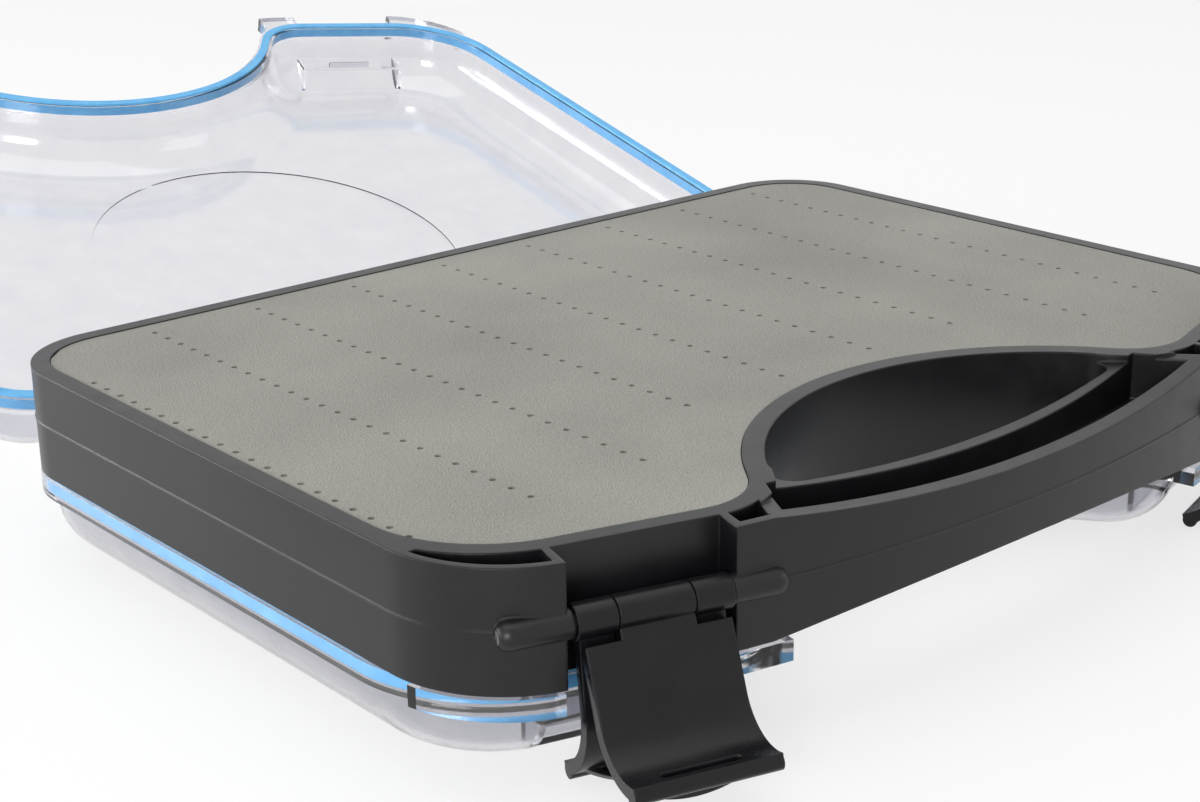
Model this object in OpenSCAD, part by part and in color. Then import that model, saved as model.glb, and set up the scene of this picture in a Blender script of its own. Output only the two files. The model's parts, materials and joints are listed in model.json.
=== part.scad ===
// Two-sided foam-lined tackle case: black centre frame with a carrying
// handle, two clear domed lids with seals, and four hook latches on two pins.
// Millimetres. X runs left to right along the front, Y to the back, Z up.
// Origin: middle of the face the case stands on (floor of the lower lid).

/* [Case size] */

// Half the width of the frame
half_width = 178; // [150:0.5:200]
// Half the depth of the frame, straight back to front centre
half_depth = 135; // [110:0.5:150]
// Height of the black frame
frame_height = 34; // [24:0.5:44]
// Height of each clear lid above the frame's face
lid_height = 30; // [22:0.5:40]

/* [Frame outline] */

// Radius of the single arc that makes the whole front
front_radius = 490; // [400:1:600]
// Radius of the rounded front corners
front_corner = 39; // [30:0.5:45]
// Radius of the rounded back corners
back_corner = 30; // [20:0.5:40]
// How far the parting line stands proud of the frame wall
seam_proud = 0.2; // [0:0.05:0.5]

/* [Seal band and foam tray] */

// Width of the flat band a lid seals on
band = 6; // [5:0.1:9]
// Radius of the tray's front corners
tray_front = 38; // [30:0.5:44]
// Radius of the tray's back corners
tray_back = 24; // [15:0.5:30]
// Radius of the scoop in the tray's front edge behind the hand hole
scoop = 95; // [80:0.5:110]
// Distance of the scoop's centre in front of the frame's front
scoop_out = 17.2; // [10:0.1:30]
// Radius of the tray's lobes on each side of the scoop
lobe = 21.5; // [12:0.5:24]
// Straight between each lobe and the scoop
scoop_flat = 6.9; // [1:0.1:12]
// Depth of each foam tray
tray_depth = 15; // [8:0.5:16]

/* [Handle] */

// Radius of the hand hole's back edge
hand_back = 88.8; // [70:0.1:94]
// Radius of the hand hole's front edge
hand_front = 450; // [350:1:600]
// Depth of the grip, from the frame's front to the hand hole
grip = 23.2; // [18:0.1:30]
// Radius of the rounded ends of the hand hole
hand_end = 6; // [3:0.5:9]
// Thickness of the grip bar at its centre
bar = 4.4; // [3:0.1:7]
// Radius of the front face of the grip bar
bar_radius = 350; // [280:1:500]
// Thickness of the outer handle wall
handle_wall = 5.6; // [3:0.1:8]
// Thickness of the web at mid height in the handle's slot and the pockets
web = 4; // [2:0.5:8]
// How far the grip's edges dip at the centre
saddle = 6; // [0:0.5:9]
// Half the length over which the grip's edges dip
saddle_reach = 95; // [60:1:120]

/* [Latches] */

// Width of the recess a latch pair sits in
recess_width = 46.7; // [40:0.1:55]
// Depth of the recess behind the latch axis
recess_back = 8.1; // [6:0.1:12]
// Shift of a latch outward from the middle of its flat
latch_shift = 0.4; // [-2:0.1:2]
// Distance of a latch axis in front of the band
latch_out = 7.6; // [6:0.1:9]
// Width of a latch plate
latch_width = 40; // [30:0.5:44]
// Thickness of a latch plate
latch_thick = 3.5; // [2:0.1:5]
// Radius of a latch knuckle
knuckle = 4.75; // [4:0.05:6]
// Width of the middle knuckle
mid_knuckle = 20.5; // [14:0.1:24]
// Space left round the other latch's knuckles
notch = 2.4; // [0.4:0.1:4]
// Radius of a latch pin
latch_pin = 2; // [1.5:0.05:2.5]
// Radius of the bosses that carry a pin
boss = 4; // [3:0.1:5]
// Length of the boss outside a recess
boss_long = 19.7; // [12:0.1:24]
// Length of the boss inside a recess
boss_short = 16.7; // [12:0.1:20]
// Radius of the hook's inner curve
hook_radius = 15.2; // [12:0.1:18]
// Height of the finger tab above the hook's back
tab_height = 5.6; // [3:0.1:8]
// Thickness of the finger tab
tab_thick = 2.6; // [2:0.1:4]
// Width of the tab's raised rim
tab_rim = 1.5; // [0.8:0.1:3]
// Length of the slot near the hook's lip
slot_long = 22; // [14:0.5:30]
// Width of the slot near the hook's lip
slot_wide = 2.4; // [1.6:0.1:4]

/* [Clear lids] */

// Width of the lid's vertical wall, outside to inside
wall = 1.8; // [1.2:0.1:3]
// Radius of the dome between the wall and the floor
dome = 20; // [14:0.5:26]
// Height of the thick rim above the seal's face
rim = 7; // [5:0.5:10]
// How far the seal stands proud of the rim
seal_proud = 1; // [0.5:0.1:2]
// Width of the seal
seal_width = 3.4; // [2.5:0.1:4]
// Depth of the seal in the rim
seal_depth = 4.2; // [3:0.1:5]
// Height of the ledge a hook closes over
ledge = 17.4; // [12:0.1:20]
// Thickness of the rib on the ledge
rib_thick = 1.6; // [1:0.1:2]
// Height of the rib on the ledge
rib_height = 2.5; // [2:0.5:3]
// Radius of the shallow disc in the middle of the floor
disc_radius = 75.5; // [40:0.5:76]
// Depth of the disc
disc_depth = 0.5; // [0:0.1:1]
// Distance of the disc's centre behind the middle of the case
disc_y = 36; // [20:0.5:45]

/* [Hinges] */

// Distance of the hinge axes behind the back face
hinge_out = 5; // [4:0.1:8]
// Distance of each hinge axis from mid height
hinge_up = 4.2; // [4:0.1:8]
// Distance of a hinge from the middle of the case
hinge_x = 100; // [60:1:125]
// Radius of a hinge barrel
barrel = 3.8; // [3:0.1:4]
// Width of a lid's hinge arm
arm_width = 19.6; // [12:0.1:30]
// Width of each frame knuckle beside it
ear_width = 9.3; // [6:0.1:14]
// Radius of a hinge pin
hinge_pin = 1.5; // [1:0.05:2]

/* [Foam] */

// Depth of the foam's face below the band
foam_low = 0.3; // [0:0.1:2]
// Gap round the foam
foam_gap = 0.25; // [0.05:0.05:1]
// Radius of a slot hole in the foam
hole = 1; // [0.5:0.1:2]
// Distance between columns of holes
column_pitch = 38.8; // [20:0.1:60]
// Distance between holes in a column
hole_pitch = 8; // [5:0.5:15]
// Size of the corner cut off the foam for lifting it
foam_corner = 20; // [0:1:40]

/* [Clearances] */

// Running clearance round a pin, on the radius
pin_clear = 0.03; // [0.01:0.01:0.1]
// Gap between moving neighbours
gap = 0.4; // [0.2:0.05:1]
// Gap between a seal and the band it closes on
seal_gap = 0.06; // [0.02:0.01:0.2]

/* [Pose] */

// Opening angle of the upper lid
top_open = 164.6; // [0:0.1:164.6]
// Swing of the upper left latch from closed
top_left_swing = 164; // [0:1:164]
// Swing of the upper right latch from closed
top_right_swing = 18.5; // [0:0.5:164]
// Swing of the lower latches from closed
low_swing = 18.5; // [0:0.5:40]

/* [Hidden] */

$fn = 96;
black = [0.03, 0.03, 0.035];
clear = [0.85, 0.85, 0.9, 0.35];
blue = [0.1, 0.45, 0.85];
taupe = [0.45, 0.42, 0.4];
steel = [0.7, 0.7, 0.72];

mid = lid_height + frame_height / 2;      // height of the frame's middle
half_h = frame_height / 2;
face = mid + half_h;                      // height of the upper band
hub = [0, front_radius - half_depth];     // centre of the front arcs
fc = [half_width - front_corner,                     // frame front corner
      hub[1] - sqrt(pow(front_radius - front_corner, 2) - pow(half_width - front_corner, 2))];
bc = [half_width - back_corner, half_depth - back_corner];
latch_yaw = atan2(7, 24);                 // a latch stands square to the slanted front
a_f = latch_yaw - 90;                     // outward direction of the slanted front
a_sc = atan2(3, 4);                       // end of the scoop's arc, about its centre
scoop_y = half_depth + scoop_out;
scoop_c = [0, -scoop_y];
// tray lobe and front corner centres: arc, straight, arc, straight, arc
lb = scoop_c + (scoop + lobe) * [0.8, 0.6] + scoop_flat * [0.6, -0.8];
front_flat = (half_width - band - tray_front - lb[0] + (tray_front - lobe) * 0.28) / 0.96;
tf = lb + front_flat * [0.96, 0.28] - (tray_front - lobe) * [0.28, -0.96];
tb = [half_width - band - tray_back, half_depth - band - tray_back];
latch_at = lb + (lobe + band + latch_out) * [0.28, -0.96]
    + (front_flat / 2 + latch_shift) * [0.96, 0.28];
boss_at = recess_width / 2 - 1.55;        // the bosses start inside the recess
hinge_y = half_depth + hinge_out;
arm_step = (arm_width + ear_width) / 2 + gap;   // from a hinge's middle knuckle to each arm

function along(c, a, r) = [c[0] + r * cos(a), c[1] + r * sin(a)];
function unit(v) = v / norm(v);
function flip(p) = [-p[0], p[1]];
function arc(c, r, from, to, n) = [for (i = [0:n]) along(c, from + (to - from) * i / n, r)];
// right half of an outline, closed with its mirror image
function mirrored(h) = concat([for (p = h) if (p[0] > 0.001) p],
                              [for (k = [len(h) - 1:-1:0]) if (h[k][0] > 0.001) flip(h[k])]);

module both() { children(); mirror([1, 0, 0]) children(); }
module over() { children(); translate([0, 0, 2 * mid]) mirror([0, 0, 1]) children(); }
module under() { translate([0, 0, 2 * mid]) mirror([0, 0, 1]) children(); }

// Frame outline, drawn inset by i.
function frame_half(i) = concat(
    arc(hub, front_radius - i, -90, atan2(fc[1] - hub[1], fc[0]), 18),
    arc(fc, front_corner - i, atan2(fc[1] - hub[1], fc[0]), 0, 22),
    arc(bc, back_corner - i, 0, 90, 26));
module frame_outline(i = 0) { polygon(mirrored(frame_half(i))); }

// Foam tray outline, grown outward by o; the band is this outline grown by its width.
function tray_half(o) = concat(
    arc(scoop_c, scoop - o, 90, a_sc, 32),
    arc(lb, lobe + o, a_sc - 180, a_f, 16),
    arc(tf, tray_front + o, a_f, 0, 22),
    arc(tb, tray_back + o, 0, 90, 24));
module tray_outline(o = 0) { polygon(mirrored(tray_half(o))); }

// Moves to a latch axis: x along the pin, y inward, z up from mid height.
module at_latch(side) {
    translate([side * latch_at[0], latch_at[1], mid]) rotate([0, 0, side * latch_yaw]) children();
}

// Hand hole with rounded ends.
front_c = [0, grip - half_depth + hand_front];
hand_s = front_c[1] + scoop_y;
hand_t = (hand_s * hand_s + pow(hand_back - hand_end, 2) - pow(hand_front - hand_end, 2))
    / (2 * hand_s);
hand_e = [sqrt(pow(hand_back - hand_end, 2) - hand_t * hand_t), -scoop_y + hand_t];
module hand_hole() {
    a1 = atan2(hand_e[1] + scoop_y, hand_e[0]);
    a2 = atan2(hand_e[1] - front_c[1], hand_e[0]);
    polygon(mirrored(concat(arc(front_c, hand_front, -90, a2, 8), arc(hand_e, hand_end, a2, a1, 14),
                            arc(scoop_c, hand_back, a1, 90, 26))));
}

// Slot between the grip bar and the outer handle wall.
module handle_slot() {
    bar_c = [0, grip - half_depth - bar + bar_radius];
    inner = front_radius - handle_wall;
    polygon(mirrored(concat(arc(hub, inner, -90, -90 + asin(88.5 / inner), 10),
                            arc(bar_c, bar_radius, -90 + asin(80 / bar_radius), -90, 14))));
}

// Area round the right front corner of the frame.
module front_corner_area() {
    translate([half_width - 78, -half_depth - 5]) square([80, 60]);
}

// Blind pockets round the front corners, outside the band.
module corner_pocket() {
    intersection() {
        difference() { frame_outline(2.4); tray_outline(band - 0.3); }
        union() {
            // crescent from the recess's outer wall round the corner
            translate(latch_at) rotate(latch_yaw)
                translate([recess_width / 2 + 2, -20]) square([60, 60]);
        }
        front_corner_area();
    }
}

module inner_pocket() {
    difference() {
        intersection() {
            frame_outline(3);
            translate(latch_at) rotate(latch_yaw)
                translate([-60, -20]) square([60 - recess_width / 2 - 2.3, 60]);
            translate(lb) polygon([[-14, -16], [13, -16], [13, -47], [-5.3, -47], [-3.3, -34]]);
        }
        tray_outline(band - 0.3);
    }
}

// Rounded boss that carries one end of a latch pin.
module pin_boss(reach) {
    rotate([0, 90, 0]) cylinder(r = boss, h = reach - boss, $fn = 48);
    translate([reach - boss, 0, 0]) sphere(boss, $fn = 48);
}

module body() {
    color(black) difference() {
        union() {
            difference() {
                union() {
                    translate([0, 0, face - frame_height]) linear_extrude(frame_height)
                        frame_outline(seam_proud);
                    translate([0, 0, mid - 0.3]) linear_extrude(0.6) frame_outline();
                }
                // recesses for the latch pairs
                for (s = [-1, 1]) at_latch(s)
                    translate([-recess_width / 2, -20, -30]) cube([recess_width, 20 + recess_back, 60]);
                // hand hole, right through
                translate([0, 0, 20]) linear_extrude(60) hand_hole();
                over() {
                    translate([0, 0, face - tray_depth]) linear_extrude(30) tray_outline();
                    translate([0, 0, mid + web / 2]) linear_extrude(30) {
                        handle_slot();
                        both() { corner_pocket(); inner_pocket(); }
                    }
                    // saddle dip along the grip
                    intersection() {
                        translate([0, 0, mid + 2]) linear_extrude(30) difference() {
                            translate([-saddle_reach, -140]) square([2 * saddle_reach, 80]);
                            tray_outline(band + 1);
                        }
                        dip = (saddle_reach * saddle_reach + saddle * saddle) / (2 * saddle);
                        translate([0, -50, face - saddle + dip]) rotate([90, 0, 0])
                            cylinder(r = dip, h = 100, $fn = 720);
                    }
                }
            }
            // pin bosses either side of each recess
            for (s = [-1, 1]) at_latch(s) {
                translate([s * boss_at, 0, 0]) mirror([s < 0 ? 1 : 0, 0, 0]) pin_boss(boss_long);
                translate([-s * boss_at, 0, 0]) mirror([s < 0 ? 0 : 1, 0, 0]) pin_boss(boss_short);
            }
            // hinge knuckles for both lids
            for (s = [-1, 1]) for (u = [-1, 1]) for (e = [-1, 1])
                translate([s * hinge_x - u * arm_step + e * arm_step - ear_width / 2, 0, mid]) {
                    translate([0, half_depth - 1, u > 0 ? -0.5 : -7])
                        cube([ear_width, hinge_out + 1, 7.5]);
                    translate([0, hinge_y, u * hinge_up]) rotate([0, 90, 0])
                        cylinder(r = barrel, h = ear_width, $fn = 48);
                }
        }
        for (s = [-1, 1]) at_latch(s)
            translate([s > 0 ? -37 : -60, 0, 0]) rotate([0, 90, 0])
                cylinder(r = latch_pin + 0.02, h = 97, $fn = 48);
        for (s = [-1, 1]) for (u = [-1, 1])
            translate([s * hinge_x - u * arm_step - arm_step - ear_width / 2 - 1, hinge_y,
                       mid + u * hinge_up]) rotate([0, 90, 0])
                cylinder(r = hinge_pin + 0.02, h = 2 * arm_step + ear_width + 2, $fn = 32);
    }
}

// Lid wall section: x is the distance inward from the band's outer edge, y the
// height above the frame's face.
wall_in = band - wall;
dome_c = [wall_in + dome, lid_height - dome];
channel = 1.2;         // seal's channel, from the rim's outer face
module lid_section() {
    difference() {
        union() {
            translate([0, seal_proud]) square([band, rim - seal_proud]);
            translate([wall_in, rim - 1]) square([wall, dome_c[1] - rim + 1]);
            intersection() {
                difference() {
                    translate(dome_c) circle(dome);
                    translate(dome_c) circle(dome - wall);
                }
                translate([0, dome_c[1]]) square([dome_c[0], 60]);
            }
            translate([dome_c[0] - 0.1, lid_height - wall]) square([16, wall]);
        }
        translate([channel, -1]) square([seal_width + 0.1, seal_depth + 1 + seal_proud]);
    }
}

// Lid section swept round a convex corner of radius r, between two directions.
module sweep(c, r, from, to) {
    translate([c[0], c[1], 0]) intersection() {
        rotate_extrude() intersection() {
            translate([r, 0]) mirror([1, 0]) lid_section();
            translate([0, -5]) square([r + 1, 60]);
        }
        sector(from, to);
    }
}

// Wedge between two directions from the axis.
module sector(from, to) {
    translate([0, 0, -5]) linear_extrude(60)
        polygon([[0, 0], 150 * from, 150 * (from + to), 150 * to]);
}

// Lid section along a straight run.
module run(from, a, length) {
    translate(from) rotate([0, 0, a]) rotate([90, 0, 90]) linear_extrude(length) lid_section();
}
module shell() {
    both() {
        run([half_width, tf[1]], 90, tb[1] - tf[1]);
        sweep(tb, tray_back + band, [1, 0], [0, 1]);
        sweep(tf, tray_front + band, [0.28, -0.96], [1, 0]);
        run(lb + (lobe + band) * [0.28, -0.96], latch_yaw, front_flat);
        sweep(lb, lobe + band, [-0.8, -0.6], [0.28, -0.96]);
        run(scoop_c + (scoop - band) * [0.8, 0.6], a_sc - 90, scoop_flat);
        translate([0, -scoop_y, 0]) intersection() {
            rotate_extrude() translate([scoop - band, 0]) lid_section();
            sector([0.8, 0.6], [0, 1]);
        }
    }
    run([tb[0], half_depth], 180, 2 * tb[0]);
    // floor plate inside the swept sections
    right = [lb + [-1, -2], tf + [2, -6], tf + [7, 1], tb - [8, 7]];
    translate([0, 0, lid_height - wall]) linear_extrude(wall)
        polygon(concat(right, [for (k = [len(right) - 1:-1:0]) flip(right[k])],
                       [for (t = [5:-1:0]) along(scoop_c, a_sc + 15 + (150 - 2 * a_sc) * t / 5, scoop + 25)]));
}

// Lid on the upper band, drawn closed.
module lid() {
    difference() {
        union() {
            translate([0, 0, face]) shell();
            for (s = [-1, 1]) at_latch(s) {
                // box under the hook's pocket
                translate([0, 0, half_h]) rotate([90, 0, 90])
                    translate([recess_back - 0.5, 0, -recess_width / 2 - 1.5])
                    linear_extrude(recess_width + 3) intersection() {
                        translate([0, ledge - wall]) square([dome_c[0] - 6, 40]);
                        translate(dome_c) circle(dome - wall / 2);
                    }
            }
            // ears over the frame's pockets, both sides of each recess
            both() translate([0, 0, face + seal_proud]) linear_extrude(rim - seal_proud) difference() {
                intersection() {
                    frame_outline(0.3);
                    union() {
                        intersection() {
                            translate(latch_at) rotate(latch_yaw)
                                translate([recess_width / 2 + 0.5, -20]) square([60, 60]);
                            front_corner_area();
                        }
                        intersection() {
                            translate(latch_at) rotate(latch_yaw)
                                translate([-60 - recess_width / 2 - 0.5, -20]) square([60, 60]);
                            translate(lb) polygon([[-16, -17], [13, -17], [13, -52], [-6, -52], [-10, -31]]);
                        }
                    }
                }
                tray_outline(band - 0.5);
            }
            // hinge arms, set to one side so that the two lids' arms pass each other
            for (s = [-1, 1]) translate([s * hinge_x - arm_step - arm_width / 2, 0, 0]) {
                translate([0, half_depth - 0.6, face + seal_proud])
                    cube([arm_width, 3.7, rim - seal_proud]);
                translate([0, half_depth + gap, mid + hinge_up])
                    cube([arm_width, 2.7, face + rim - mid - hinge_up]);
                translate([0, hinge_y, mid + hinge_up]) rotate([0, 90, 0])
                    cylinder(r = barrel, h = arm_width, $fn = 48);
            }
        }
        // pockets for the hooks
        for (s = [-1, 1]) at_latch(s)
            translate([-recess_width / 2 + 0.3, -20, half_h + ledge])
                cube([recess_width - 0.6, 20 + recess_back + dome_c[0] - 8, 40]);
        // shallow disc in the floor's inside
        translate([0, disc_y, face + lid_height - wall - 5]) cylinder(r = disc_radius, h = 5 + disc_depth);
        for (s = [-1, 1])
            translate([s * hinge_x - arm_step - arm_width / 2 - 1, hinge_y, mid + hinge_up])
                rotate([0, 90, 0]) cylinder(r = hinge_pin + pin_clear, h = arm_width + 2, $fn = 32);
    }
    // ribs the hooks' grooves close over
    for (s = [-1, 1]) at_latch(s) {
        long = slot_long - 2.4;
        translate([-long / 2, slot_y - rib_thick / 2, half_h + ledge - 0.5])
            cube([long, rib_thick, rib_height + 0.5 - rib_thick / 2]);
        translate([-long / 2, slot_y, half_h + ledge + rib_height - rib_thick / 2]) rotate([0, 90, 0])
            cylinder(r = rib_thick / 2, h = long, $fn = 32);
    }
}

module open_top() {
    translate([0, hinge_y, mid + hinge_up]) rotate([-top_open, 0, 0])
        translate([0, -hinge_y, -mid - hinge_up]) children();
}

module top_lid() { color(clear) open_top() lid(); }
// the same moulding as the top lid, turned over
module bottom_lid() { color(clear) under() mirror([1, 0, 0]) lid(); }

// Seal ring in the lid's rim, drawn closed on the upper band.
module seal() {
    out = band - channel - 0.05;
    translate([0, 0, face + seal_gap]) linear_extrude(seal_depth + seal_proud - seal_gap - 0.05)
        difference() { tray_outline(out); tray_outline(out - seal_width); }
}
module top_gasket() { color(blue) open_top() seal(); }
module bottom_gasket() { color(blue) under() seal(); }

// Foam pad with its holes, on the upper tray.
module foam() {
    translate([0, 0, face - tray_depth]) linear_extrude(tray_depth - foam_low) difference() {
        tray_outline(-foam_gap);
        cut = half_width - band;
        polygon([[-cut - 5, tb[1] + tray_back - foam_corner], [-cut + foam_corner, tb[1] + tray_back + 5],
                 [-cut - 5, tb[1] + tray_back + 5]]);
        first = cut - 3;
        back = half_depth - band;
        for (j = [0:floor(2 * first / column_pitch)]) {
            x = column_pitch * j - first;
            for (k = [-ceil(back / hole_pitch):ceil(back / hole_pitch)]) {
                y = k * hole_pitch;
                if (y < back - 7 && y > 55 - half_depth && (abs(x) > 70 || y > scoop - 10 - half_depth)
                    && !(j == 0 && y > back - 39)) translate([x, y]) circle(hole, $fn = 16);
            }
        }
    }
}
module top_foam() { color(taupe) foam(); }
module bottom_foam() { color(taupe) under() foam(); }

// Hook latch drawn closed: x along the pin, y inward, z up, pin at the origin.
hook_c = [21.7, 22.2];
module hook_section() {
    intersection() {
        difference() {
            translate(hook_c) circle(hook_radius + latch_thick);
            translate(hook_c) circle(hook_radius);
        }
        polygon([hook_c, along(hook_c, 170.6, 60), along(hook_c, 130, 60), along(hook_c, 88, 60)]);
    }
    a = along(hook_c, 170.6, hook_radius);
    b = along(hook_c, 170.6, hook_radius + latch_thick);
    d = [sin(9.4), cos(9.4)];
    polygon([a, b, b - 22.4 * d, a - 22.4 * d]);
    translate([20.3, 39.7]) circle(2.3, $fn = 32);
}
slot_y = 18.3;                            // slot and rib, inward of the pin
module slot_outline() {
    r = slot_wide / 2;
    e = slot_long / 2 - r;
    polygon(concat(arc([e, 0], r, -90, 90, 8), arc([-e, 0], r, 90, 270, 8)));
}

// Finger tab: a flat segment standing on the hook's back, drawn inset by i.
module at_tab() {
    translate([0, hook_c[0], hook_c[1]]) rotate([22, 0, 0]) rotate([90, 0, 0]) children();
}
module tab_outline(i) {
    half = 17.5;
    r = (half * half + tab_height * tab_height) / (2 * tab_height);
    top = hook_radius + latch_thick + tab_height;
    intersection() {
        translate([0, top - r]) circle(r - i);
        translate([-half, hook_radius + (i > 0 ? latch_thick + 0.4 : 1)]) square([2 * half, 30]);
    }
}

module latch(middle) {
    half = latch_width / 2;
    inner = mid_knuckle / 2;
    difference() {
        union() {
            difference() {
                translate([-half, 0, 0]) rotate([90, 0, 90]) linear_extrude(latch_width) hook_section();
                // clear of the other latch's knuckles
                if (middle) for (e = [-1, 1])
                    translate([e * (inner + 8) - 8, 0, 0]) rotate([0, 90, 0])
                        cylinder(r = knuckle + notch, h = 16);
                else translate([-inner - gap, 0, 0]) rotate([0, 90, 0])
                    cylinder(r = knuckle + notch, h = 2 * (inner + gap));
            }
            if (middle) translate([-inner, 0, 0]) rotate([0, 90, 0]) cylinder(r = knuckle, h = 2 * inner);
            else for (e = [-1, 1])
                translate([e > 0 ? inner + gap : -21.35, 0, 0]) rotate([0, 90, 0])
                    cylinder(r = knuckle, h = 21.35 - inner - gap);
            // finger tab across the hook's back
            at_tab() {
                translate([0, 0, -tab_thick / 2]) linear_extrude(tab_thick) tab_outline(0);
            }
        }
        // slot that closes over the lid's rib
        translate([0, slot_y, 30]) linear_extrude(8.4) slot_outline();
        // recess in the tab's front, inside its rim
        at_tab() translate([0, 0, tab_thick / 2 - 1.2]) linear_extrude(5) tab_outline(tab_rim);
        translate([-30, 0, 0]) rotate([0, 90, 0]) cylinder(r = latch_pin + pin_clear, h = 60, $fn = 48);
    }
}
module low_latch(side) {
    at_latch(side) mirror([0, 0, 1]) rotate([low_swing, 0, 0]) latch(false);
}
module top_left_latch() { color(black) at_latch(-1) rotate([top_left_swing, 0, 0]) latch(true); }
module top_right_latch() { color(black) at_latch(1) rotate([top_right_swing, 0, 0]) latch(true); }
module bottom_left_latch() { color(black) low_latch(-1); }
module bottom_right_latch() { color(black) low_latch(1); }

module latch_rod(side) {
    // set a little inside each boss's end
    outer = boss_at + boss_long - 1;
    inner = boss_at + boss_short - 2;
    color(steel) at_latch(side) translate([side > 0 ? -inner : -outer, 0, 0]) rotate([0, 90, 0])
        cylinder(r = latch_pin, h = outer + inner, $fn = 48);
}
module left_latch_pin() { latch_rod(-1); }
module right_latch_pin() { latch_rod(1); }

module hinge_rod(side, u) {
    long = arm_width + 2 * gap + 2 * ear_width - 0.6;
    color(steel) translate([side * hinge_x - u * arm_step - long / 2, hinge_y, mid + u * hinge_up])
        rotate([0, 90, 0]) cylinder(r = hinge_pin, h = long, $fn = 32);
}
module top_left_hinge_pin() { hinge_rod(-1, 1); }
module top_right_hinge_pin() { hinge_rod(1, 1); }
module bottom_left_hinge_pin() { hinge_rod(-1, -1); }
module bottom_right_hinge_pin() { hinge_rod(1, -1); }

body();
top_lid();
bottom_lid();
top_gasket();
bottom_gasket();
top_foam();
bottom_foam();
top_left_latch();
top_right_latch();
bottom_left_latch();
bottom_right_latch();
left_latch_pin();
right_latch_pin();
top_left_hinge_pin();
top_right_hinge_pin();
bottom_left_hinge_pin();
bottom_right_hinge_pin();
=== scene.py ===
import json
import math

import bpy
from mathutils import Matrix, Vector

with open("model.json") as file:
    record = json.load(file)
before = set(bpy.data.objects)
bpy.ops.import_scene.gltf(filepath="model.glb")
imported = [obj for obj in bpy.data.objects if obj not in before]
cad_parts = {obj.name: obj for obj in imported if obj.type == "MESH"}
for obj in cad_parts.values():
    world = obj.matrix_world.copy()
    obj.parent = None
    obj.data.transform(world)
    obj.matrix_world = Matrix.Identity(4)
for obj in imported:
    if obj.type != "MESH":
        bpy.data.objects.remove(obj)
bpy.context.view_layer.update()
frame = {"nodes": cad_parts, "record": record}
nodes = frame["nodes"]
MM = 0.001


# ---------------------------------------------------------------- node helpers
def group_tree(name, inputs, outputs):
    """A shader node group with named sockets: inputs are (name, type, default)."""
    tree = bpy.data.node_groups.new(name, "ShaderNodeTree")
    for label, kind, default in inputs:
        socket = tree.interface.new_socket(name=label, in_out="INPUT", socket_type=kind)
        if default is not None:
            socket.default_value = default
    for label, kind in outputs:
        tree.interface.new_socket(name=label, in_out="OUTPUT", socket_type=kind)
    group_in = tree.nodes.new("NodeGroupInput")
    group_out = tree.nodes.new("NodeGroupOutput")
    return tree, group_in, group_out


def add(tree, kind, **settings):
    node = tree.nodes.new(kind)
    for key, value in settings.items():
        setattr(node, key, value)
    return node


def math_node(tree, op, a, b, clamp=False):
    """A Math node of two terms, each a number or another node's output."""
    node = add(tree, "ShaderNodeMath", operation=op, use_clamp=clamp)
    for socket, term in zip(node.inputs, (a, b)):
        if isinstance(term, (int, float)):
            socket.default_value = term
        else:
            tree.links.new(term, socket)
    return node.outputs[0]


def noise(tree, vector, scale, detail=4.0, rough=0.5):
    node = add(tree, "ShaderNodeTexNoise")
    node.inputs["Scale"].default_value = scale
    node.inputs["Detail"].default_value = detail
    node.inputs["Roughness"].default_value = rough
    tree.links.new(vector, node.inputs["Vector"])
    return node.outputs["Fac"]


def ramp(tree, fac, stops):
    node = add(tree, "ShaderNodeValToRGB")
    elements = node.color_ramp.elements
    while len(elements) < len(stops):
        elements.new(0.5)
    for element, (place, colour) in zip(elements, stops):
        element.position = place
        element.color = colour
    tree.links.new(fac, node.inputs["Fac"])
    return node.outputs["Color"]


def bump_node(tree, height, strength, depth):
    """Bumps of a height over the surface, depth metres deep at full strength."""
    node = add(tree, "ShaderNodeBump")
    node.inputs["Strength"].default_value = strength
    node.inputs["Distance"].default_value = depth
    tree.links.new(height, node.inputs["Height"])
    return node


def seen_directly(tree):
    """1 where the camera, a reflection or a clear lid looks, and 0 for light on matt surfaces."""
    path = add(tree, "ShaderNodeLightPath")
    seen = math_node(tree, "MAXIMUM", path.outputs["Is Camera Ray"], path.outputs["Is Glossy Ray"])
    return math_node(tree, "MAXIMUM", seen, path.outputs["Is Transmission Ray"])


def new_material(name):
    mat = bpy.data.materials.new(name)
    mat.use_nodes = True
    tree = mat.node_tree
    return mat, tree, tree.nodes["Principled BSDF"]


# ---------------------------------------------------------------- finishes
HANDLED = (0.10, 0.10, 0.11, 1)    # colour that worn black plastic greys towards
SMUDGE_SPREAD = 0.22               # how far handling marks move the roughness
SCRATCH_SPREAD = 0.04              # how far fine scratches move it
LID_LETS_THROUGH = 0.85            # share of light that a clear wall passes on, without bending


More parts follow.
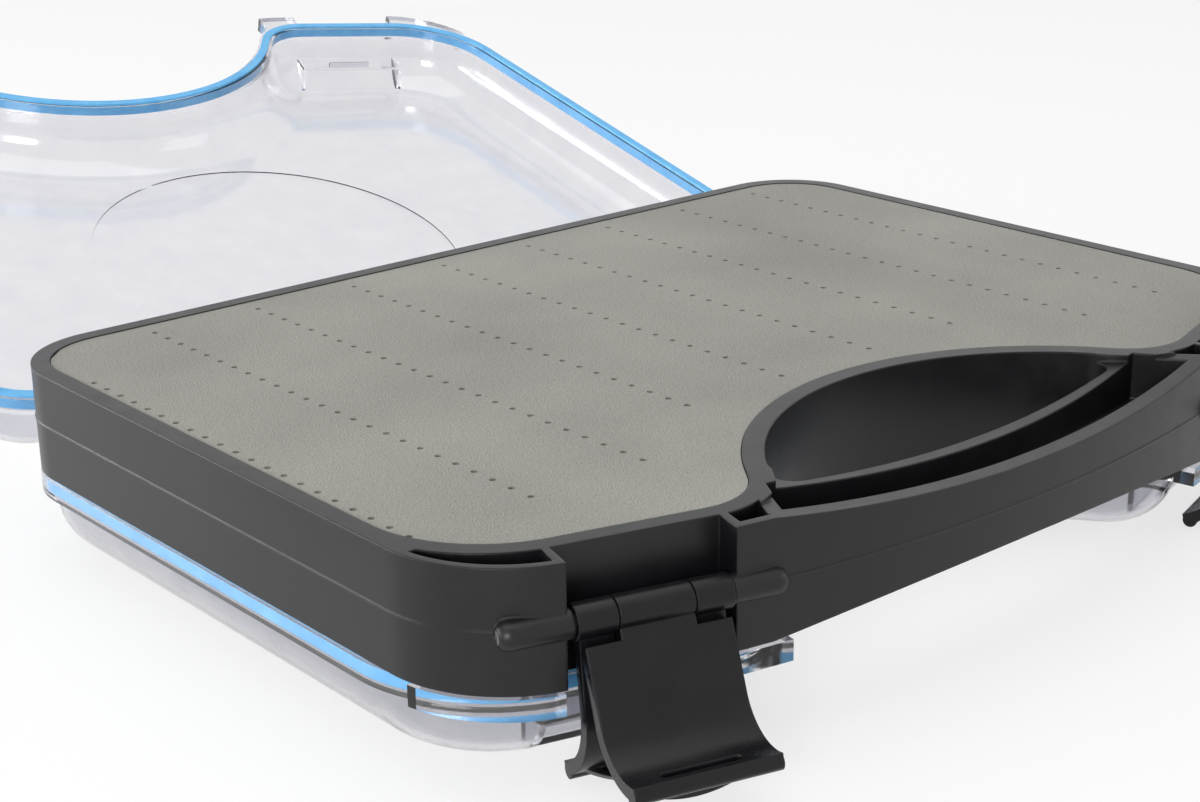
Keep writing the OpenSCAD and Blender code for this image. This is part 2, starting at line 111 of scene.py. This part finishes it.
def grain_group():
    """Moulded plastic: spark-eroded grain, slight wear, and handling marks in the gloss."""
    tree, group_in, group_out = group_tree(
        "moulded_grain",
        [("Colour", "NodeSocketColor", (0.02, 0.02, 0.02, 1)),
         ("Grain", "NodeSocketFloat", 0.3),
         ("Rough", "NodeSocketFloat", 0.4),
         ("Wear", "NodeSocketFloat", 0.3),
         ("Edge", "NodeSocketVector", None)],
        [("Colour", "NodeSocketColor"),
         ("Roughness", "NodeSocketFloat"),
         ("Normal", "NodeSocketVector")])
    place = add(tree, "ShaderNodeTexCoord").outputs["Object"]
    broad = noise(tree, place, 22.0, 3.0)
    fine = noise(tree, place, 2600.0, 2.0, 0.6)
    smudge = noise(tree, place, 90.0, 6.0, 0.65)
    stretched = add(tree, "ShaderNodeMapping")
    stretched.inputs["Scale"].default_value = (40.0, 900.0, 300.0)
    tree.links.new(place, stretched.inputs["Vector"])
    scratch = noise(tree, stretched.outputs["Vector"], 1.0, 2.0)
    scratch = ramp(tree, scratch, [(0.66, (0, 0, 0, 1)), (0.72, (1, 1, 1, 1))])

    worn = math_node(tree, "MULTIPLY", math_node(tree, "MULTIPLY", broad, smudge),
                     group_in.outputs["Wear"])
    mix = add(tree, "ShaderNodeMix", data_type="RGBA", blend_type="MIX")
    tree.links.new(worn, mix.inputs["Factor"])
    tree.links.new(group_in.outputs["Colour"], mix.inputs["A"])
    mix.inputs["B"].default_value = HANDLED
    tree.links.new(mix.outputs["Result"], group_out.inputs["Colour"])

    marks = math_node(tree, "MULTIPLY", math_node(tree, "SUBTRACT", smudge, 0.5), SMUDGE_SPREAD)
    rough = math_node(tree, "ADD", group_in.outputs["Rough"], marks)
    rough = math_node(tree, "ADD", rough, math_node(tree, "MULTIPLY", scratch, SCRATCH_SPREAD),
                      clamp=True)
    tree.links.new(rough, group_out.inputs["Roughness"])

    bump = bump_node(tree, fine, 1.0, 0.12 * MM)
    tree.links.new(group_in.outputs["Grain"], bump.inputs["Strength"])
    tree.links.new(group_in.outputs["Edge"], bump.inputs["Normal"])
    tree.links.new(bump.outputs["Normal"], group_out.inputs["Normal"])
    return tree


GRAIN = grain_group()


def moulded(name, colour, grain, rough, wear, specular, edge):
    """Moulded black plastic, with its edges rounded by edge millimetres in the shading."""
    mat, tree, bsdf = new_material(name)
    surface = add(tree, "ShaderNodeGroup", node_tree=GRAIN)
    rounded = add(tree, "ShaderNodeBevel", samples=4)
    rounded.inputs["Radius"].default_value = edge * MM
    tree.links.new(rounded.outputs["Normal"], surface.inputs["Edge"])
    surface.inputs["Colour"].default_value = (*colour, 1)
    surface.inputs["Grain"].default_value = grain
    surface.inputs["Rough"].default_value = rough
    surface.inputs["Wear"].default_value = wear
    tree.links.new(surface.outputs["Colour"], bsdf.inputs["Base Color"])
    tree.links.new(surface.outputs["Roughness"], bsdf.inputs["Roughness"])
    tree.links.new(surface.outputs["Normal"], bsdf.inputs["Normal"])
    bsdf.inputs["Specular IOR Level"].default_value = specular
    return mat


def clear_plastic(name):
    """Clear moulded lid, slightly hazed by handling."""
    mat, tree, bsdf = new_material(name)
    place = add(tree, "ShaderNodeTexCoord").outputs["Object"]
    haze = noise(tree, place, 60.0, 5.0, 0.6)
    rough = math_node(tree, "ADD", 0.04, math_node(tree, "MULTIPLY", haze, 0.09))
    tree.links.new(rough, bsdf.inputs["Roughness"])
    tint = ramp(tree, haze, [(0.3, (0.80, 0.80, 0.83, 1)), (0.8, (0.73, 0.73, 0.78, 1))])
    tree.links.new(tint, bsdf.inputs["Base Color"])
    bump = bump_node(tree, noise(tree, place, 420.0, 3.0), 0.05, 0.4 * MM)
    tree.links.new(bump.outputs["Normal"], bsdf.inputs["Normal"])
    bsdf.inputs["Transmission Weight"].default_value = 1.0
    bsdf.inputs["IOR"].default_value = 1.46
    # light passes straight through to the seal and the foam behind
    path = add(tree, "ShaderNodeLightPath")
    passing = math_node(tree, "MAXIMUM", path.outputs["Is Shadow Ray"],
                        path.outputs["Is Diffuse Ray"])
    let_through = math_node(tree, "MULTIPLY", passing, LID_LETS_THROUGH)
    tree.links.new(math_node(tree, "SUBTRACT", 1.0, let_through), bsdf.inputs["Alpha"])
    return mat


def seal_rubber(name):
    """Blue seal, soft and slightly translucent."""
    mat, tree, bsdf = new_material(name)
    place = add(tree, "ShaderNodeTexCoord").outputs["Object"]
    mottle = noise(tree, place, 130.0, 4.0)
    colour = ramp(tree, mottle, [(0.3, (0.09, 0.42, 0.80, 1)), (0.75, (0.17, 0.55, 0.92, 1))])
    tree.links.new(colour, bsdf.inputs["Base Color"])
    rough = math_node(tree, "ADD", 0.33, math_node(tree, "MULTIPLY", mottle, 0.25))
    tree.links.new(rough, bsdf.inputs["Roughness"])
    bump = bump_node(tree, noise(tree, place, 900.0, 3.0), 0.15, 0.2 * MM)
    tree.links.new(bump.outputs["Normal"], bsdf.inputs["Normal"])
    bsdf.inputs["Subsurface Weight"].default_value = 0.15
    bsdf.inputs["Subsurface Radius"].default_value = (0.2, 0.4, 1.0)
    bsdf.inputs["Subsurface Scale"].default_value = 1.0 * MM
    return mat


def foam(name):
    """Closed-cell foam pad with a fine cell pattern."""
    mat, tree, bsdf = new_material(name)
    place = add(tree, "ShaderNodeTexCoord").outputs["Object"]
    cells = add(tree, "ShaderNodeTexVoronoi")
    cells.inputs["Scale"].default_value = 1500.0
    tree.links.new(place, cells.inputs["Vector"])
    broad = noise(tree, place, 14.0, 4.0)
    speck = noise(tree, place, 800.0, 3.0, 0.6)
    mottle = math_node(tree, "ADD", math_node(tree, "MULTIPLY", broad, 0.55),
                       math_node(tree, "MULTIPLY", speck, 0.45))
    colour = ramp(tree, mottle, [(0.3, (0.20, 0.195, 0.172, 1)), (0.7, (0.32, 0.31, 0.275, 1))])
    tree.links.new(colour, bsdf.inputs["Base Color"])
    bsdf.inputs["Roughness"].default_value = 0.9
    bsdf.inputs["Specular IOR Level"].default_value = 0.25
    bump = bump_node(tree, cells.outputs["Distance"], 0.5, 0.3 * MM)
    tree.links.new(bump.outputs["Normal"], bsdf.inputs["Normal"])
    bsdf.inputs["Sheen Weight"].default_value = 0.15
    return mat


def pin_steel(name):
    """Drawn steel rod."""
    mat, tree, bsdf = new_material(name)
    place = add(tree, "ShaderNodeTexCoord").outputs["Object"]
    mottle = noise(tree, place, 500.0, 4.0)
    colour = ramp(tree, mottle, [(0.3, (0.42, 0.42, 0.43, 1)), (0.8, (0.62, 0.62, 0.62, 1))])
    tree.links.new(colour, bsdf.inputs["Base Color"])
    rough = math_node(tree, "ADD", 0.22, math_node(tree, "MULTIPLY", mottle, 0.25))
    tree.links.new(rough, bsdf.inputs["Roughness"])
    bump = bump_node(tree, mottle, 0.1, 0.1 * MM)
    tree.links.new(bump.outputs["Normal"], bsdf.inputs["Normal"])
    bsdf.inputs["Metallic"].default_value = 1.0
    return mat


BLACK = (0.003, 0.003, 0.004)
MATERIALS = {
    "frame_plastic": moulded("frame_plastic", BLACK, grain=0.2, rough=0.36, wear=0.10,
                             specular=0.36, edge=0.9),
    "latch_plastic": moulded("latch_plastic", BLACK, grain=0.2, rough=0.28, wear=0.10,
                             specular=0.26, edge=0.7),
    "clear_plastic": clear_plastic("clear_plastic"),
    "seal": seal_rubber("seal_rubber"),
    "foam": foam("closed_cell_foam"),
    "pin_steel": pin_steel("pin_steel"),
}


# ---------------------------------------------------------------- the box's pieces
WELD_DISTANCE = 0.002 * MM    # closes the seams between the faces of the CAD mesh
SHARPEST_SMOOTH = 32          # degrees; a sharper bend stays an edge


def smooth_group():
    """Smooth shading that keeps edges sharper than an angle."""
    tree = bpy.data.node_groups.new("smooth_by_angle", "GeometryNodeTree")
    tree.is_modifier = True
    for way in ("INPUT", "OUTPUT"):
        tree.interface.new_socket(name="Geometry", in_out=way,
                                  socket_type="NodeSocketGeometry")
    group_in = tree.nodes.new("NodeGroupInput")
    group_out = tree.nodes.new("NodeGroupOutput")
    faces = add(tree, "GeometryNodeSetShadeSmooth", domain="FACE")
    edges = add(tree, "GeometryNodeSetShadeSmooth", domain="EDGE")
    angle = add(tree, "GeometryNodeInputMeshEdgeAngle")
    gentle = add(tree, "FunctionNodeCompare", data_type="FLOAT", operation="LESS_EQUAL")
    gentle.inputs["B"].default_value = math.radians(SHARPEST_SMOOTH)
    tree.links.new(angle.outputs["Unsigned Angle"], gentle.inputs["A"])
    tree.links.new(group_in.outputs[0], faces.inputs["Geometry"])
    tree.links.new(faces.outputs["Geometry"], edges.inputs["Geometry"])
    tree.links.new(gentle.outputs["Result"], edges.inputs["Shade Smooth"])
    tree.links.new(edges.outputs["Geometry"], group_out.inputs[0])
    return tree


SMOOTH = smooth_group()

for part in frame["record"]["subparts"]:
    piece = nodes[part["node"]]
    piece.data.materials.clear()
    piece.data.materials.append(MATERIALS[part["material_slot"]])
    weld = piece.modifiers.new("weld", "WELD")
    weld.merge_threshold = WELD_DISTANCE
    smooth = piece.modifiers.new("smooth", "NODES")
    smooth.node_group = SMOOTH


# ---------------------------------------------------------------- floor
FLOOR_SIDE = 12.0
FLOOR_DROP = 0.3 * MM    # just under the lower lid, so that their faces never coincide
FLOOR_WHITE = 0.72       # how much plain white the looked-at floor has over its own shading


def square(name, side, z):
    mesh = bpy.data.meshes.new(name)
    s = side / 2
    mesh.from_pydata([(-s, -s, z), (s, -s, z), (s, s, z), (-s, s, z)], [], [(0, 1, 2, 3)])
    obj = bpy.data.objects.new(name, mesh)
    bpy.context.scene.collection.objects.link(obj)
    return obj


def pale_floor():
    """Pale matt floor, whitened where it is looked at; its shading keeps the shadow."""
    mat, tree, bsdf = new_material("pale_floor")
    bsdf.inputs["Base Color"].default_value = (0.93, 0.93, 0.93, 1)
    bsdf.inputs["Roughness"].default_value = 0.9
    glow = add(tree, "ShaderNodeEmission")
    share = math_node(tree, "MULTIPLY", seen_directly(tree), FLOOR_WHITE)
    mix = add(tree, "ShaderNodeMixShader")
    tree.links.new(share, mix.inputs["Fac"])
    tree.links.new(bsdf.outputs["BSDF"], mix.inputs[1])
    tree.links.new(glow.outputs["Emission"], mix.inputs[2])
    tree.links.new(mix.outputs["Shader"], tree.nodes["Material Output"].inputs["Surface"])
    return mat


floor = square("floor", FLOOR_SIDE, -FLOOR_DROP)
floor.data.materials.append(pale_floor())


# ---------------------------------------------------------------- lights
def area_light(name, place, aim, size, power):
    data = bpy.data.lights.new(name, "AREA")
    data.shape = "RECTANGLE"
    data.size, data.size_y = size
    data.energy = power
    obj = bpy.data.objects.new(name, data)
    bpy.context.scene.collection.objects.link(obj)
    obj.location = place
    obj.rotation_euler = (Vector(aim) - Vector(place)).to_track_quat("-Z", "Y").to_euler()


area_light("top_softbox", (-0.2, 0.1, 1.5), (0, 0, 0), (1.6, 1.6), 10)
area_light("front_left_softbox", (-1.1, -0.75, 0.42), (-0.15, -0.12, 0.05), (0.4, 0.4), 8)
area_light("back_left_strip", (-1.6, 1.6, 0.32), (-0.1, 0, 0.05), (2.4, 0.6), 50)
area_light("right_softbox", (1.3, -1.2, 0.8), (0, 0, 0.05), (0.9, 0.9), 3)

# White all round for the camera, for reflections and through the clear lids; the same world
# lights the matt surfaces at a plain level.
ROOM_LEVEL = 0.45
world = bpy.data.worlds.new("studio")
bpy.context.scene.world = world
world.use_nodes = True
room = world.node_tree
background = room.nodes["Background"]
background.inputs["Color"].default_value = (1, 1, 1, 1)
level = add(room, "ShaderNodeMapRange")
level.inputs["To Min"].default_value = ROOM_LEVEL
level.inputs["To Max"].default_value = 1.0
room.links.new(seen_directly(room), level.inputs["Value"])
room.links.new(level.outputs["Result"], background.inputs["Strength"])

# ---------------------------------------------------------------- camera
# Solved camera: focal length and centre in pixels of a 1200 x 802 picture; turned from +Y
# towards +X, tipped down and rolled a little, all in degrees.
WIDTH, HEIGHT = 1200, 802
FOCAL, CENTRE_X, CENTRE_Y = 2096.56, 613.72, 389.63
YAW, PITCH, ROLL = 41.07, 19.05, -0.65
PLACE = (-0.4433, -0.4641, 0.2656)
SENSOR = 36
sy, cy = math.sin(math.radians(YAW)), math.cos(math.radians(YAW))
sp, cp = math.sin(math.radians(PITCH)), math.cos(math.radians(PITCH))
sr, cr = math.sin(math.radians(ROLL)), math.cos(math.radians(ROLL))
ahead = Vector((sy * cp, cy * cp, -sp))
level_right = Vector((cy, -sy, 0))
level_up = level_right.cross(ahead)
right = cr * level_right + sr * level_up
up = -sr * level_right + cr * level_up
camera_data = bpy.data.cameras.new("camera")
camera_data.sensor_width = SENSOR
camera_data.lens = FOCAL / WIDTH * SENSOR
camera_data.shift_x = -(CENTRE_X - WIDTH / 2) / WIDTH
camera_data.shift_y = -(HEIGHT / 2 - CENTRE_Y) / WIDTH
camera_data.clip_start, camera_data.clip_end = 0.01, 50
camera = bpy.data.objects.new("camera", camera_data)
bpy.context.scene.collection.objects.link(camera)
camera.matrix_world = Matrix((
    (right.x, up.x, -ahead.x, PLACE[0]),
    (right.y, up.y, -ahead.y, PLACE[1]),
    (right.z, up.z, -ahead.z, PLACE[2]),
    (0, 0, 0, 1)))
bpy.context.scene.camera = camera
bpy.context.scene.view_settings.view_transform = "Standard"
